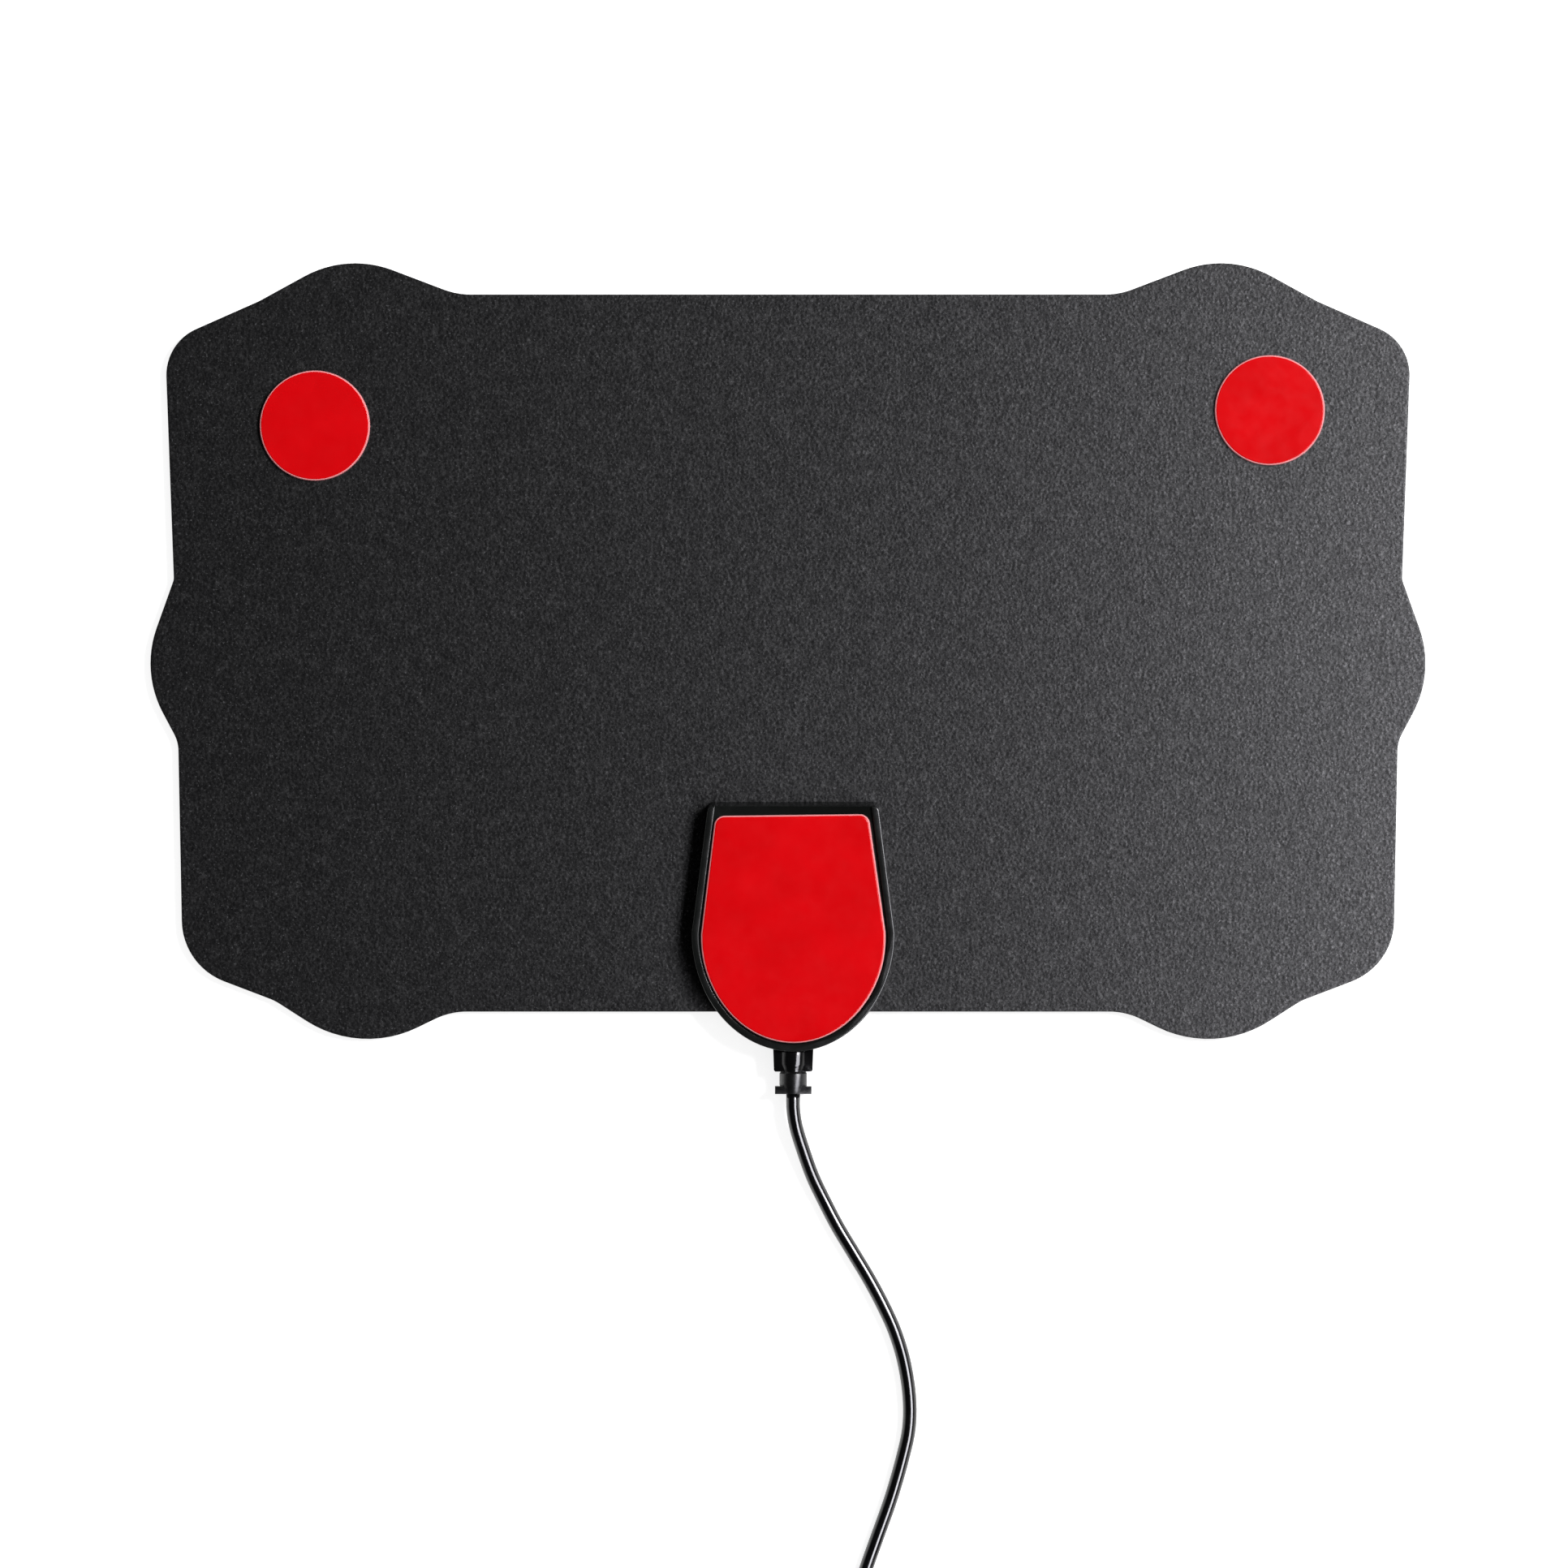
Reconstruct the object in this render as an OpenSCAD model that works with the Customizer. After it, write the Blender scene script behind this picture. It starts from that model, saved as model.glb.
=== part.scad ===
// Flat indoor TV antenna, lying face down with its adhesive pads up.
// +X runs along the sheet, +Y towards its top edge, +Z up. Sizes are in millimetres.

/* [Sheet] */
// Width of the sheet where the side lobes start
sheet_w = 280; // [276:1:290]
// Height of the sheet between its straight top and bottom edges
sheet_h = 163.5; // [160:0.5:168]
// Rise of a scallop's corner point above the straight edge
scallop_rise = 9.5; // [8:0.5:11]
// Reach of a side lobe's corner point beyond the straight side
lobe_reach = 7.5; // [6:0.5:9]
// Thickness of each of the two bonded films
film_t = 0.5; // [0.4:0.05:0.7]
// Thickness of the metal foil between the films
foil_t = 0.1; // [0.05:0.01:0.15]

/* [Housing] */
// Widest part of the housing
housing_w = 46.2; // [44:0.2:50]
// Width of the housing along its flat top edge, before the corners are rounded
housing_top_w = 38.8; // [36:0.2:42]
// Length from the flat top edge to the widest part
housing_flank = 28.8; // [27:0.2:30]
// Length of the elliptic foot below the widest part
housing_foot = 26.9; // [26:0.1:28]
// How far the wall at the flat top edge slopes out on its way down to the sheet
top_slope = 1; // [0:0.1:1.4]
// Thickness of the front cover below the sheet
front_t = 1.6; // [1.6:0.1:2.4]
// Height of the back cover above the sheet
back_h = 5.4; // [5.4:0.1:7]
// Wall thickness of both covers
wall = 1.8; // [1.6:0.1:2]
// Radius of the top corners in plan
corner_r = 1.2; // [0.8:0.1:2]
// Radius of the rounded outer edge of the rim that stands round the pad
rim_r = 0.3; // [0.2:0.1:0.5]
// Width of that rim
rim_w = 1.5; // [1.3:0.1:1.6]
// Depth of the recess that the pad is stuck in
pad_sink = 0.7; // [0.4:0.1:0.9]
// How far the housing sits to the right of the sheet's middle
housing_x = 1.2; // [0:0.1:2]

/* [Pads] */
// Diameter of the round foam tapes
pad_d = 25.2; // [20:0.2:30]
// Thickness of the foam tape
tape_t = 1; // [0.8:0.1:1.5]
// Thickness of the release film on the tape
liner_t = 0.12; // [0.1:0.02:0.2]
// Width of the tape's edge that shows round the release film
tape_edge = 0.3; // [0.2:0.05:0.5]
// How far the housing's pad is drawn in from the housing's outline
pad_inset = 1.9; // [1.9:0.1:2.6]
// Radius of the pad's top corners
pad_corner_r = 2.4; // [2:0.2:4]
// How far round the housing's pad was stuck on askew, in degrees
pad_turn = 0.65; // [0:0.05:0.7]

/* [Cable] */
// Diameter of the coaxial cable
cable_d = 3.2; // [3:0.1:3.4]
// Width of the strain relief's block at the housing
relief_w = 9.2; // [8.6:0.1:10]
// Diameter of the strain relief's round collar
collar_d = 6.7; // [6.4:0.1:7]
// Mean radius of the coil's turns
coil_r = 22; // [20:0.5:24]

/* [Plug] */
// Diameter of the moulded grip
grip_d = 11; // [10:0.2:12]
// Length of the moulded grip
grip_l = 27; // [24:1:32]
// Diameter of the plug's metal barrel
barrel_d = 9.5; // [9.5:0.1:9.5]
// Length of the barrel in front of the grip
barrel_l = 10; // [9:0.5:11]
// Diameter of the centre pin
pin_d = 2.4; // [2.3:0.05:2.4]

/* [Hidden] */
$fn = 48;
cut = 0.1; // how far a cutter runs past the face it opens

// Heights of the layers
film_z = front_t;
seam_z = film_z + film_t;
sheet_top_z = seam_z + film_t;
back_top_z = sheet_top_z + back_h;
recess_z = back_top_z - pad_sink;
ceiling_z = recess_z - 0.9;
board_t = 1;
board_z = sheet_top_z + board_t;
cable_z = 4.3;

// The sheet's straight edges, and the corner points of its right half as [x, y, fillet radius]
bottom_y = -76;
top_y = bottom_y + sheet_h;
side_x = sheet_w / 2;
half_outline = [
    [75.5, top_y, 18],
    [100.5, top_y + scallop_rise, 24],
    [120.5, top_y - 1.5, 12],
    [side_x + 2, top_y - 11, 11.5],
    [side_x, 22.5, 3],
    [side_x + lobe_reach, 1.5, 24],
    [side_x - 1, -14.5, 8.5],
    [side_x - 2, bottom_y + 10.5, 15],
    [117, bottom_y + 2.5, 12],
    [97.5, bottom_y - scallop_rise - 0.5, 26],
    [77, bottom_y, 16.5]
];

// The housing's outline is drawn about the middle of its widest line
housing_y = -58;
housing_c = [housing_x, housing_y];
lean = atan2((housing_w - housing_top_w) / 2, housing_flank); // of the flanks, from the Y axis
screw_places = [[-13.8, 21.5], [13.8, 21.5], [-13.5, -12.5], [13.5, -12.5]];
post_r = 2.2;
post_top_z = 4.9;
head_r = 1.9;
head_t = 1.1;
head_z = recess_z - head_t - 0.2;
shank_r = 0.8;

// The board and what joins it to the foils
board_w = 21.6;
board_l = 37;
board_c = [housing_x, -55];
rivet_x = 7.5;
rivet_y = -41;
rivet_r = 1.2;
pocket_d = 0.6;
core_size = [7.2, 5, 2.6];
core_y = -51;
core_hole_x = 1.8;
core_hole_r = 0.8;
winding_t = 0.35;

// The pads' centres, as the strips were stuck on
left_pad = [-107.8, 57.55];
right_pad = [109.8, 61.05];

// The strain relief, along -Y from inside the housing's foot to its outer end
foot_y = housing_y - housing_foot;
relief_end_y = -94.6;
block_l = 4.9;
flange_l = 1.7;
flange_w = 8.3;
neck_r = 3.15;
jacket_y = -78.5;
insulation_y = -75.8;
solder_y = -70.8;

// The cable's route from the strain relief to the coil, as points picked along it
cable_route = [
    [housing_x, relief_end_y, cable_z],
    [housing_x, -98, cable_z],
    [1.8, -102, 3.9],
    [3.3, -107, 3],
    [5.6, -113.5, 2.1],
    [8.2, -119, 1.7],
    [11.3, -125, 1.6],
    [14.9, -131, 1.6],
    [18.5, -137, 1.6],
    [21.7, -143, 1.6],
    [24.4, -149, 1.6],
    [26.5, -156, 1.6],
    [27.7, -164, 1.6],
    [27.6, -171, 1.6],
    [26.1, -178, 1.6],
    [23.5, -187, 1.6],
    [20.3, -196, 1.6],
    [17.5, -204, 1.6],
    [15.6, -211, 1.6],
    [14.6, -218, 1.7],
    [14.6, -224, 1.7]
];

// The coil: turns side by side and on each other, with a straight lead at each end
turn_pitch = 3.35;
turns_across = 5;
turns_up = 4;
coil_half_w = (turns_across - 1) * turn_pitch / 2;
coil_c = [43.3, -238];
coil_lead = 14;
coil_skin = 0.1; // how far the coil's solid stands off its outer turns
low_turn_z = cable_d / 2 + coil_skin;
high_turn_z = low_turn_z + (turns_up - 1) * turn_pitch;
coil_h = high_turn_z + cable_d / 2 + coil_skin;
tie_angle = 60;
tie_w = 4;
tie_t = 0.4;

// The cable's last stretch, from the top of the coil down to the plug
end_y = coil_c.y - coil_r - coil_half_w;
grip_z = grip_d / 2;
grip_x = 93;
end_route = [
    [coil_c.x + coil_lead, end_y, high_turn_z],
    [61, end_y, high_turn_z],
    [67, end_y, 11],
    [73, end_y, 9.6],
    [79, end_y, 7.8],
    [85, end_y, 6.1],
    [90, end_y, grip_z],
    [grip_x, end_y, grip_z]
];

function unit(v) = v / norm(v);
function around(a) = a > 180 ? a - 360 : a < -180 ? a + 360 : a;

// Points along an arc of radius r about c
function arc(c, r, a0, a1, n) =
    [for (i = [0:n]) let (a = a0 + (a1 - a0) * i / n) c + r * [cos(a), sin(a)]];

// Arc of radius r that rounds the corner b between its neighbours a and c
function fillet(a, b, c, r, n) =
    let (u = unit(a - b), v = unit(c - b), half = acos(u * v) / 2,
         m = b + unit(u + v) * r / sin(half),
         p = b + u * r / tan(half) - m, q = b + v * r / tan(half) - m,
         a0 = atan2(p.y, p.x), turn = around(atan2(q.y, q.x) - a0))
    arc(m, r, a0, a0 + turn, n);

// Closed outline through corners [x, y, radius], each rounded by its own arc
function rounded(corners, n = 12) =
    let (k = len(corners), at = [for (c = corners) [c.x, c.y]])
    [for (i = [0:k - 1]) each fillet(at[(i + k - 1) % k], at[i], at[(i + 1) % k], corners[i].z, n)];

// The housing's elliptic foot drawn in by d, from its left end to its right end
function foot(d) =
    let (a = housing_w / 2, b = housing_foot)
    [for (t = [180:3.75:360]) let (n = unit([cos(t) / a, sin(t) / b]))
        [a * cos(t), b * sin(t)] - d * n];

// The housing's outline drawn in by d, counter-clockwise, with top corners of radius r. Its flanks
// run on past the top edge by extra
function shield(d, r, extra = 0) =
    let (cx = housing_top_w / 2 - extra * tan(lean) - (r + d) * (1 - sin(lean)) / cos(lean),
         cy = housing_flank + extra - d - r)
    concat(arc([cx, cy], r, lean, 90, 8), arc([-cx, cy], r, 90, 180 - lean, 8), foot(d));

// The covers' outline drawn in by d, with top corners that sharpen as it shrinks
function cover(d) = shield(d, max(corner_r - d, 0.4));

// The pad's recess: an outline drawn in by d, with its flanks run out past the housing's top edge
function recess(d) =
    let (over = 1, x = housing_top_w / 2 - (d + over * sin(lean)) / cos(lean), y = housing_flank + over)
    concat([[x, y], [-x, y]], foot(d));

// Solid skinned over a stack of outlines with the same number of points, one height each
module skin(outlines, heights) {
    n = len(outlines[0]);
    m = len(outlines);
    corners = [for (k = [0:m - 1]) for (p = outlines[k]) [p.x, p.y, heights[k]]];
    sides = [for (k = [0:m - 2]) for (i = [0:n - 1])
        let (a = k * n + i, b = k * n + (i + 1) % n)
        each [[a, a + n, b + n], [a, b + n, b]]];
    polyhedron(corners, concat([[for (i = [0:n - 1]) i]], sides,
                               [[for (i = [n - 1:-1:0]) (m - 1) * n + i]]), convexity = 4);
}

// Round tube swept along a route, with a ring of corners square to the route at each point
module tube(route, d, sides = 8) {
    n = len(route);
    rings = [for (k = [0:n - 1])
        let (along = unit(route[min(k + 1, n - 1)] - route[max(k - 1, 0)]),
             across = unit(cross(along, [0, 0, 1])),
             up = cross(across, along))
        for (i = [0:sides - 1]) let (a = 360 * (i + 0.5) / sides)
            route[k] + d / 2 * (cos(a) * across + sin(a) * up)];
    walls = [for (k = [0:n - 2]) for (i = [0:sides - 1])
        let (a = k * sides + i, b = k * sides + (i + 1) % sides)
        each [[a, a + sides, b + sides], [a, b + sides, b]]];
    polyhedron(rings, concat([[for (i = [0:sides - 1]) i]], walls,
                             [[for (i = [sides - 1:-1:0]) (n - 1) * sides + i]]), convexity = 4);
}

module sheet_outline() {
    left = [for (i = [len(half_outline) - 1:-1:0])
        [-half_outline[i].x, half_outline[i].y, half_outline[i].z]];
    polygon(rounded(concat(half_outline, left)));
}

module layer(z, t) {
    translate([0, 0, z]) linear_extrude(t) children();
}

// Places its children at each screw
module at_screws() {
    for (p = screw_places) translate(housing_c + p) children();
}

// Places its children at each rivet
module at_rivets() {
    for (s = [-1, 1]) translate([housing_x + s * rivet_x, rivet_y]) children();
}

// One half of the dipole: a tab under the board that opens into a wide field with tuning slots
module foil_outline(side) {
    tab = housing_x * side;
    corners = [
        [tab + 4.5, -45, 1], [tab + 11, -45, 1], [tab + 12, -33, 3], [48, -56, 14],
        [118, -60, 14], [130, 0, 30], [130, 62, 12], [100, 80, 20], [24, 77, 8], [8, -18, 8]
    ];
    scale([side, 1]) difference() {
        polygon(rounded(corners, 6));
        for (y = [-34, 14, 46]) translate([40, y]) square([66, 4]);
    }
}

// Solid turned about the cable's axis, from a profile of [distance from the housing, radius]
module turned_along_cable(profile) {
    translate([housing_x, 0, cable_z]) rotate([90, 0, 0]) rotate_extrude() polygon(profile);
}

module front_film() {
    color([0.13, 0.13, 0.14]) difference() {
        layer(film_z, film_t) sheet_outline();
        for (s = [-1, 1]) layer(seam_z - foil_t, foil_t + cut) foil_outline(s);
        layer(film_z - cut, film_t + 2 * cut) {
            at_screws() circle(post_r + 0.2);
            at_rivets() circle(rivet_r);
        }
    }
}

module back_film() {
    color([0.17, 0.17, 0.18]) layer(seam_z, film_t) difference() {
        sheet_outline();
        at_screws() circle(post_r + 0.2);
        at_rivets() circle(rivet_r + 1.2);
    }
}

module foil(side) {
    color("silver") layer(seam_z - foil_t, foil_t) difference() {
        foil_outline(side);
        at_screws() circle(post_r + 0.2);
        at_rivets() circle(rivet_r);
    }
}

module left_foil() foil(-1);

module right_foil() foil(1);

// The front half: a dished plate with screw posts, and a lip that closes the foot below the sheet
module front_cover() {
    rim = 1.2;
    steps = [for (a = [0:22.5:90]) a];
    color([0.08, 0.08, 0.08]) difference() {
        union() {
            translate(housing_c) skin(
                concat([for (a = steps) cover(rim * (1 - sin(a)))], [cover(0)]),
                concat([for (a = steps) rim * (1 - cos(a))], [front_t]));
            at_screws() cylinder(r = post_r, h = post_top_z);
            intersection() {
                layer(front_t / 2, sheet_top_z - front_t / 2) difference() {
                    translate(housing_c) polygon(cover(0));
                    translate(housing_c) polygon(cover(wall));
                }
                translate([-housing_w, foot_y - 1, 0]) cube([2 * housing_w, bottom_y - foot_y + 0.8, 9]);
            }
        }
        at_screws() translate([0, 0, front_t / 2]) cylinder(r = shank_r + 0.05, h = post_top_z);
        translate([housing_x - 11, rivet_y - 4, front_t - pocket_d]) cube([22, 8, pocket_d + cut]);
        relief_slot();
    }
}

// Round opening for the strain relief's neck through the foot of both covers
module relief_slot() {
    translate([housing_x, foot_y + 2 * wall, cable_z]) rotate([90, 0, 0]) cylinder(r = 2.9, h = 4 * wall);
}

// The back half: a shell with a rim round the pad's recess, and sleeves that meet the screw posts
module back_cover() {
    steps = [for (a = [0:22.5:90]) a];
    color([0.09, 0.09, 0.09]) difference() {
        union() {
            difference() {
                translate(housing_c) skin(
                    concat([shield(0, corner_r, top_slope)],
                           [for (a = steps) cover(rim_r * (1 - cos(a)))]),
                    concat([sheet_top_z], [for (a = steps) back_top_z - rim_r * (1 - sin(a))]));
                layer(sheet_top_z - cut, ceiling_z - sheet_top_z + cut)
                    translate(housing_c) polygon(cover(wall));
            }
            at_screws() translate([0, 0, post_top_z])
                cylinder(r = post_r + 0.3, h = ceiling_z - post_top_z + 0.5);
        }
        layer(recess_z, pad_sink + cut) translate(housing_c) polygon(recess(rim_w));
        at_screws() {
            cylinder(r = shank_r + 0.3, h = back_top_z);
            translate([0, 0, head_z]) cylinder(r = head_r + 0.1, h = head_t + 1);
        }
        relief_slot();
    }
}

module cover_screws() {
    color("silver") at_screws() {
        translate([0, 0, front_t]) cylinder(r = shank_r, h = head_z - front_t);
        translate([0, 0, head_z]) difference() {
            cylinder(r = head_r, h = head_t);
            for (a = [0, 90]) rotate(a) translate([-1, -0.2, head_t / 2]) cube([2, 0.4, head_t]);
        }
    }
}

module circuit_board() {
    w = board_w / 2;
    l = board_l / 2;
    color("darkgreen") layer(sheet_top_z, board_t) difference() {
        translate(board_c) polygon(rounded([[w, l, 1.5], [-w, l, 1.5], [-w, -l, 1.5], [w, -l, 1.5]], 4));
        at_rivets() circle(rivet_r);
    }
}

module chip_parts() {
    color("tan") for (p = [[-6, -60], [-2.5, -60], [6, -60], [-6, -66], [6.5, -53], [-6.5, -50]])
        translate([housing_x + p.x - 0.6, p.y - 1, board_z]) cube([1.2, 2, 0.8]);
}

module balun_core() {
    color("dimgray") translate([housing_x, core_y, board_z + core_size.z / 2]) difference() {
        cube(core_size, center = true);
        for (s = [-1, 1]) translate([s * core_hole_x, 0, 0]) rotate([90, 0, 0])
            cylinder(r = core_hole_r, h = core_size.y + 2 * cut, center = true);
    }
}

// Three flat turns of wire that go up one hole of the core and down the other
module balun_winding() {
    x = core_hole_x + winding_t / 2;
    y = core_size.y / 2 + 2 * winding_t;
    step = winding_t + 0.05;
    color("peru") translate([housing_x, core_y, board_z + core_size.z / 2 - 1.5 * step])
        for (k = [0:2]) translate([0, 0, k * step]) linear_extrude(winding_t) difference() {
            square([2 * x, 2 * y], center = true);
            square([2 * (x - winding_t), 2 * (y - winding_t)], center = true);
        }
}

module contact_rivets() {
    color("gold") at_rivets() difference() {
        union() {
            translate([0, 0, film_z - 0.3]) cylinder(r = rivet_r + 0.8, h = 0.3);
            translate([0, 0, film_z - 0.3]) cylinder(r = rivet_r, h = board_z - film_z + 0.6);
            translate([0, 0, board_z]) cylinder(r = rivet_r + 0.8, h = 0.3);
        }
        cylinder(r = rivet_r - 0.3, h = back_top_z);
    }
}

// Washers that carry the current from the foil to the board through the back film
module contact_washers() {
    color("gold") layer(seam_z, film_t) at_rivets() difference() {
        circle(rivet_r + 1.2);
        circle(rivet_r);
    }
}

module braid_tail(r) {
    translate([housing_x + 1.1, jacket_y + 1.2, cable_z]) rotate([90, 0, 150]) cylinder(r = r, h = 7);
}

module solder_joints() {
    color("lightgray") difference() {
        for (x = [0, 4.4]) translate([housing_x + x, solder_y, board_z])
            cylinder(r1 = 1.1, r2 = 0.6, h = 1.2);
        translate([housing_x, solder_y - 5, cable_z]) rotate([-90, 0, 0]) cylinder(r = 0.3, h = 5);
        braid_tail(0.5);
    }
}

module cable_tail() {
    color([0.06, 0.06, 0.06])
        turned_along_cable([[1.3, -jacket_y], [cable_d / 2, -jacket_y],
                            [cable_d / 2, -relief_end_y], [0, -relief_end_y], [0, -jacket_y + 2],
                            [1.3, -jacket_y + 2]]);
}

// The braid: a sleeve in the jacket's end, with its wires twisted into a tail
module cable_braid() {
    color("silver") {
        turned_along_cable([[0.9, -jacket_y - 1.2], [1.3, -jacket_y - 1.2], [1.3, -jacket_y + 2],
                            [0.9, -jacket_y + 2]]);
        difference() {
            braid_tail(0.5);
            turned_along_cable([[0, -jacket_y - 4], [1, -jacket_y - 4], [1, -jacket_y + 4],
                                [0, -jacket_y + 4]]);
        }
    }
}

module cable_insulation() {
    color("white")
        turned_along_cable([[0.3, -insulation_y], [0.9, -insulation_y], [0.9, -jacket_y + 2],
                            [0.3, -jacket_y + 2]]);
}

module cable_conductor() {
    color("peru") turned_along_cable([[0, -solder_y], [0.3, -solder_y], [0.3, -jacket_y + 2],
                                      [0, -jacket_y + 2]]);
}

// The strain relief: a round collar and neck with two flat flanges, and a third one in the housing
module strain_relief() {
    w = relief_w / 2;
    start_y = foot_y + 0.3;
    block_y = start_y - block_l;
    color([0.05, 0.05, 0.05]) difference() {
        union() {
            turned_along_cable([
                [0, -foot_y - wall - 1.8], [2.9, -foot_y - wall - 1.8], [2.9, -start_y + 0.3],
                [collar_d / 2, -start_y + 0.5], [collar_d / 2, -start_y + 3.2],
                [neck_r - 0.3, -block_y], [neck_r, -block_y + 0.5],
                [neck_r, -relief_end_y - flange_l - 0.4], [2.6, -relief_end_y], [0, -relief_end_y]]);
            layer(cable_z - 2.2, 4.4) difference() {
                polygon([
                    [housing_x - w, foot_y + 1.5], [housing_x - w + 0.2, block_y + 0.35],
                    [housing_x - w + 0.5, block_y], [housing_x + w - 0.5, block_y],
                    [housing_x + w - 0.2, block_y + 0.35], [housing_x + w, foot_y + 1.5]]);
                translate(housing_c) polygon(cover(-0.1));
            }
            translate([housing_x - flange_w / 2, relief_end_y, cable_z - 2.3])
                cube([flange_w, flange_l, 4.6]);
            translate([housing_x - 4, foot_y + wall + 0.5, sheet_top_z + 0.1])
                cube([8, 1.3, ceiling_z - sheet_top_z - 0.2]);
        }
        turned_along_cable([[0, -foot_y - 9], [cable_d / 2, -foot_y - 9],
                            [cable_d / 2, -relief_end_y + 1], [0, -relief_end_y + 1]]);
    }
}

module pad_tape(place) {
    color("lightgray") layer(sheet_top_z, tape_t) translate(place) circle(d = pad_d, $fn = 96);
}

module pad_liner(place) {
    color([0.85, 0.06, 0.09]) layer(sheet_top_z + tape_t, liner_t)
        translate(place) circle(d = pad_d - 2 * tape_edge, $fn = 96);
}

module left_pad_tape() pad_tape(left_pad);

module left_pad_liner() pad_liner(left_pad);

module right_pad_tape() pad_tape(right_pad);

module right_pad_liner() pad_liner(right_pad);

module housing_pad_tape() {
    color("lightgray") layer(recess_z, tape_t)
        translate(housing_c) rotate(pad_turn) polygon(shield(pad_inset, pad_corner_r));
}

module housing_pad_liner() {
    color([0.85, 0.06, 0.09]) layer(recess_z + tape_t, liner_t)
        translate(housing_c) rotate(pad_turn)
            polygon(shield(pad_inset + tape_edge, pad_corner_r - tape_edge));
}

module cable_run() {
    color([0.06, 0.06, 0.06]) tube(cable_route, cable_d);
}

// Section of the coil's bundle of turns
module bundle(grow = 0) {
    w = coil_half_w + cable_d / 2 + coil_skin + grow;
    h = coil_h / 2 + grow;
    polygon(rounded([[w, h, 1.2], [-w, h, 1.2], [-w, -h, 1.2], [w, -h, 1.2]], 3));
}

module cable_coil() {
    color([0.06, 0.06, 0.06]) difference() {
        union() {
            translate([coil_c.x, coil_c.y, coil_h / 2]) rotate_extrude($fn = 96)
                translate([coil_r, 0]) bundle();
            translate([coil_c.x - coil_r - coil_half_w, coil_c.y, low_turn_z]) rotate([-90, 0, 0])
                cylinder(d = cable_d, h = coil_lead);
            translate([coil_c.x, end_y, high_turn_z]) rotate([0, 90, 0])
                cylinder(d = cable_d, h = coil_lead);
        }
        tie_band(0.5);
    }
}

// Flat band drawn tight round the bundle, thicker on its outside by grow
module tie_band(grow = 0) {
    translate([coil_c.x, coil_c.y, coil_h / 2]) rotate(tie_angle) translate([coil_r, tie_w / 2, 0])
        rotate([90, 0, 0]) linear_extrude(tie_w) difference() {
            bundle(grow);
            bundle(-tie_t);
        }
}

module cable_tie() {
    color([0.1, 0.1, 0.1]) {
        tie_band();
        translate([coil_c.x, coil_c.y, coil_h / 2]) rotate(tie_angle)
            translate([coil_r + coil_half_w + cable_d / 2 - 0.1, -tie_w / 2, -2.2])
                cube([2.4, tie_w, 4.4]);
    }
}

module cable_end() {
    color([0.06, 0.06, 0.06]) tube(end_route, cable_d);
}

// Solid turned about the plug's axis, from a profile of [radius, distance from the grip's end]
module turned_along_plug(profile) {
    translate([grip_x, end_y, grip_z]) rotate([0, 90, 0]) rotate_extrude() polygon(profile);
}

// The grip: a tapered sleeve, finger grooves and a plain collar at the barrel
module plug_grip() {
    r = grip_d / 2;
    grooves = [for (k = [0:5]) let (y = 10.5 + 2 * k)
        each [[r, y], [r - 0.6, y + 0.4], [r - 0.6, y + 1], [r, y + 1.4]]];
    color([0.07, 0.07, 0.07]) turned_along_plug(concat(
        [[0, 0], [2.3, 0], [2.5, 0.4], [3, 5], [r - 0.5, 9.4]], grooves,
        [[r, grip_l - 0.6], [r - 0.6, grip_l], [0, grip_l]]));
}

module plug_barrel() {
    r = barrel_d / 2;
    color("silver") turned_along_plug([
        [r - 0.6, grip_l], [r + 0.5, grip_l], [r + 0.5, grip_l + 1], [r, grip_l + 1],
        [r, grip_l + barrel_l + 0.7], [r - 0.3, grip_l + barrel_l + 1], [r - 0.6, grip_l + barrel_l + 1]]);
}

module plug_insulator() {
    r = barrel_d / 2 - 0.6;
    color("white") turned_along_plug([[pin_d / 2, grip_l], [r, grip_l], [r, grip_l + 4],
                                      [pin_d / 2, grip_l + 4]]);
}

module plug_pin() {
    tip = grip_l + barrel_l + 2.5;
    color("gold") turned_along_plug(concat(
        [[0, grip_l], [pin_d / 2, grip_l]],
        arc([0, tip - pin_d / 2], pin_d / 2, 0, 90, 8)));
}

front_film();
back_film();
left_foil();
right_foil();
front_cover();
back_cover();
cover_screws();
circuit_board();
chip_parts();
balun_core();
balun_winding();
contact_rivets();
contact_washers();
solder_joints();
cable_tail();
cable_braid();
cable_insulation();
cable_conductor();
strain_relief();
left_pad_tape();
left_pad_liner();
right_pad_tape();
right_pad_liner();
housing_pad_tape();
housing_pad_liner();
cable_run();
cable_coil();
cable_end();
cable_tie();
plug_grip();
plug_barrel();
plug_insulator();
plug_pin();
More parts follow.
